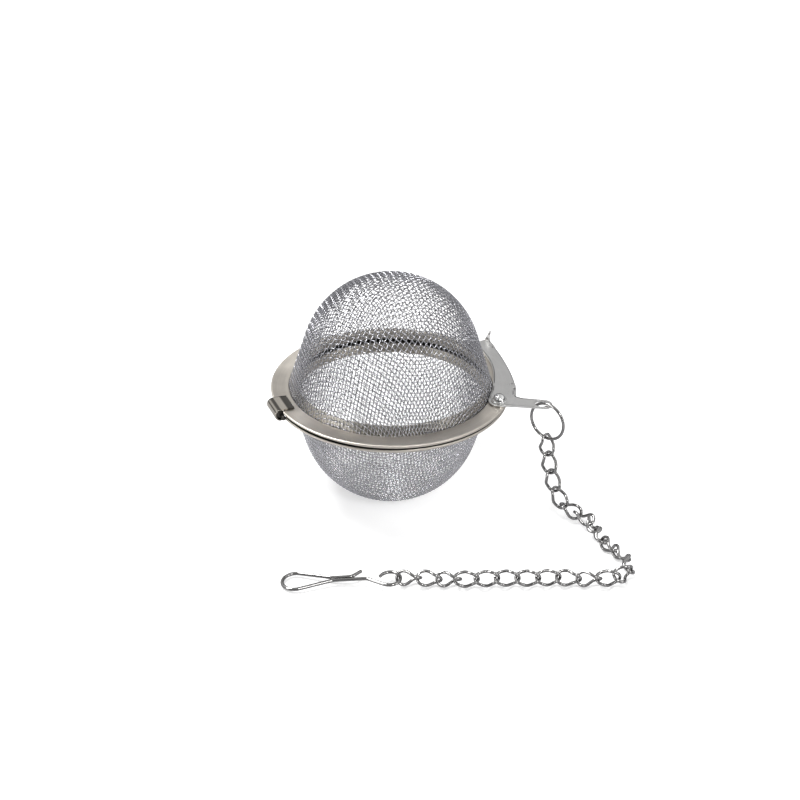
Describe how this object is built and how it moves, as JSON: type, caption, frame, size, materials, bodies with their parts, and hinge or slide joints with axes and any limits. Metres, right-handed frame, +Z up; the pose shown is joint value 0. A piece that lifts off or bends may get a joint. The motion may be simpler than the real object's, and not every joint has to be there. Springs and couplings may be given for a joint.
{
  "type": "tea infuser",
  "caption": "Hinged wire-mesh tea ball with folded sheet rims, a swinging latch plate with a handle, a curb chain and a cup-rim hook.",
  "frame": {"origin": "centre of the flat foot under the lower cup, on the surface the ball rests on", "axes": "+Z up, square to the plane between the rims; +X towards the latch side; +Y to the back, away from the chain's row"},
  "size_m": [0.0742, 0.0649, 0.0484],
  "materials": {
    "rim_steel": "satin folded stainless sheet, slightly warm",
    "mesh_wire": "bright drawn stainless wire, woven",
    "strap_steel": "polished stainless strip",
    "latch_steel": "satin pressed stainless sheet",
    "rivet_steel": "polished domed head",
    "chain_steel": "polished wire with drawing marks",
    "hook_steel": "polished bent wire"
  },
  "bodies": {
    "lower_half": {"lower_rim": "rim_steel", "lower_mesh": "mesh_wire"},
    "upper_half": {"upper_rim": "rim_steel", "upper_mesh": "mesh_wire", "hinge_strap": "strap_steel", "latch_rivet": "rivet_steel"},
    "latch": {"latch_plate": "latch_steel"},
    "ring": {"chain_ring": "chain_steel"},
    "link_body_01": {"link_01": "chain_steel"},
    "link_body_02": {"link_02": "chain_steel"},
    "link_body_03": {"link_03": "chain_steel"},
    "link_body_04": {"link_04": "chain_steel"},
    "link_body_05": {"link_05": "chain_steel"},
    "link_body_06": {"link_06": "chain_steel"},
    "link_body_07": {"link_07": "chain_steel"},
    "link_body_08": {"link_08": "chain_steel"},
    "link_body_09": {"link_09": "chain_steel"},
    "link_body_10": {"link_10": "chain_steel"},
    "link_body_11": {"link_11": "chain_steel"},
    "link_body_12": {"link_12": "chain_steel"},
    "link_body_13": {"link_13": "chain_steel"},
    "link_body_14": {"link_14": "chain_steel"},
    "link_body_15": {"link_15": "chain_steel"},
    "link_body_16": {"link_16": "chain_steel"},
    "link_body_17": {"link_17": "chain_steel"},
    "link_body_18": {"link_18": "chain_steel"},
    "link_body_19": {"link_19": "chain_steel"},
    "link_body_20": {"link_20": "chain_steel"},
    "link_body_21": {"link_21": "chain_steel"},
    "link_body_22": {"link_22": "chain_steel"},
    "link_body_23": {"link_23": "chain_steel"},
    "hook_body": {"hook": "hook_steel"}
  },
  "joints": [
    {"name": "ball_hinge", "type": "hinge", "parent": "lower_half", "child": "upper_half", "pos_m": [-0.0231, -0.00981, 0.0236], "axis": [0.3907, -0.9205, 0], "range_deg": [0, 90]},
    {"name": "ball_latch", "type": "hinge", "parent": "upper_half", "child": "latch", "pos_m": [0.0222, -0.0074, 0.0246], "axis": [0, 0, 1], "range_deg": [-30, 0]},
    {"name": "chain_00_ring", "type": "hinge", "parent": "latch", "child": "ring", "pos_m": [0.0321, -0.0096, 0.02143], "axis": [-0.6428, -0.766, 0], "range_deg": [-20, 20]},
    {"name": "chain_01", "type": "hinge", "parent": "ring", "child": "link_body_01", "pos_m": [0.0321, -0.0096, 0.01748], "axis": [-0.766, 0.6428, 0], "range_deg": [-20, 20]},
    {"name": "chain_02", "type": "hinge", "parent": "link_body_01", "child": "link_body_02", "pos_m": [0.03264, -0.01014, 0.01355], "axis": [0.8865, -0.4261, 0.1804], "range_deg": [-20, 20]},
    {"name": "chain_03", "type": "hinge", "parent": "link_body_02", "child": "link_body_03", "pos_m": [0.03328, -0.01078, 0.01036], "axis": [-0.6956, -0.7184, 0.0065], "range_deg": [-20, 20]},
    {"name": "chain_04", "type": "hinge", "parent": "link_body_03", "child": "link_body_04", "pos_m": [0.03453, -0.01203, 0.00598], "axis": [0.8163, -0.4503, 0.3618], "range_deg": [-20, 20]},
    {"name": "chain_05", "type": "hinge", "parent": "link_body_04", "child": "link_body_05", "pos_m": [0.03574, -0.01326, 0.00355], "axis": [-0.2165, -0.9333, 0.2865], "range_deg": [-20, 20]},
    {"name": "chain_06", "type": "hinge", "parent": "link_body_05", "child": "link_body_06", "pos_m": [0.03986, -0.01476, 0.00178], "axis": [0.4798, 0.3893, 0.7863], "range_deg": [-20, 20]},
    {"name": "chain_07", "type": "hinge", "parent": "link_body_06", "child": "link_body_07", "pos_m": [0.04146, -0.01623, 0.00194], "axis": [-0.286, -0.0608, 0.9563], "range_deg": [-20, 20]},
    {"name": "chain_08", "type": "hinge", "parent": "link_body_07", "child": "link_body_08", "pos_m": [0.04245, -0.02085, 0.00194], "axis": [0.9768, 0.2076, 0.0523], "range_deg": [-20, 20]},
    {"name": "chain_09", "type": "hinge", "parent": "link_body_08", "child": "link_body_09", "pos_m": [0.04312, -0.0237, 0.00194], "axis": [0.2802, 0.1962, 0.9397], "range_deg": [-20, 20]},
    {"name": "chain_10", "type": "hinge", "parent": "link_body_09", "child": "link_body_10", "pos_m": [0.04583, -0.02758, 0.00194], "axis": [0.6791, 0.4755, -0.5592], "range_deg": [-20, 20]},
    {"name": "chain_11", "type": "hinge", "parent": "link_body_10", "child": "link_body_11", "pos_m": [0.04725, -0.0294, 0.00194], "axis": [0.3905, 0.0136, 0.9205], "range_deg": [-20, 20]},
    {"name": "chain_12", "type": "hinge", "parent": "link_body_11", "child": "link_body_12", "pos_m": [0.04742, -0.03413, 0.00194], "axis": [0.7981, 0.0279, -0.6018], "range_deg": [-20, 20]},
    {"name": "chain_13", "type": "hinge", "parent": "link_body_12", "child": "link_body_13", "pos_m": [0.04526, -0.03591, 0.00194], "axis": [0.0194, -0.1378, 0.9903], "range_deg": [-20, 20]},
    {"name": "chain_14", "type": "hinge", "parent": "link_body_13", "child": "link_body_14", "pos_m": [0.04057, -0.03657, 0.00194], "axis": [0.129, -0.9182, -0.3746], "range_deg": [-20, 20]},
    {"name": "chain_15", "type": "hinge", "parent": "link_body_14", "child": "link_body_15", "pos_m": [0.03751, -0.03662, 0.00194], "axis": [-0.0408, -0.3886, 0.9205], "range_deg": [-20, 20]},
    {"name": "chain_16", "type": "hinge", "parent": "link_body_15", "child": "link_body_16", "pos_m": [0.03281, -0.03612, 0.00194], "axis": [-0.0835, -0.7943, -0.6018], "range_deg": [-20, 20]},
    {"name": "chain_17", "type": "hinge", "parent": "link_body_16", "child": "link_body_17", "pos_m": [0.02957, -0.03657, 0.00194], "axis": [0.0018, -0.1045, 0.9945], "range_deg": [-20, 20]},
    {"name": "chain_18", "type": "hinge", "parent": "link_body_17", "child": "link_body_18", "pos_m": [0.02484, -0.03665, 0.00194], "axis": [0.0164, -0.9395, -0.342], "range_deg": [-20, 20]},
    {"name": "chain_19", "type": "hinge", "parent": "link_body_18", "child": "link_body_19", "pos_m": [0.02158, -0.03668, 0.00194], "axis": [0.0091, -0.0867, 0.9962], "range_deg": [-20, 20]},
    {"name": "chain_20", "type": "hinge", "parent": "link_body_19", "child": "link_body_20", "pos_m": [0.01688, -0.03717, 0.00194], "axis": [0.0988, -0.9403, -0.3256], "range_deg": [-20, 20]},
    {"name": "chain_21", "type": "hinge", "parent": "link_body_20", "child": "link_body_21", "pos_m": [0.01416, -0.03719, 0.00194], "axis": [0.0126, -0.7192, 0.6947], "range_deg": [-20, 20]},
    {"name": "chain_22", "type": "hinge", "parent": "link_body_21", "child": "link_body_22", "pos_m": [0.00944, -0.03727, 0.00194], "axis": [0.0087, -0.4999, -0.866], "range_deg": [-20, 20]},
    {"name": "chain_23", "type": "hinge", "parent": "link_body_22", "child": "link_body_23", "pos_m": [0.00639, -0.03691, 0.00194], "axis": [0.0259, -0.7427, 0.6691], "range_deg": [-20, 20]},
    {"name": "chain_24_hook", "type": "hinge", "parent": "link_body_23", "child": "hook_body", "pos_m": [0.00167, -0.03708, 0.00194], "axis": [0.0164, -0.4692, -0.8829], "range_deg": [-20, 20]}
  ]
}
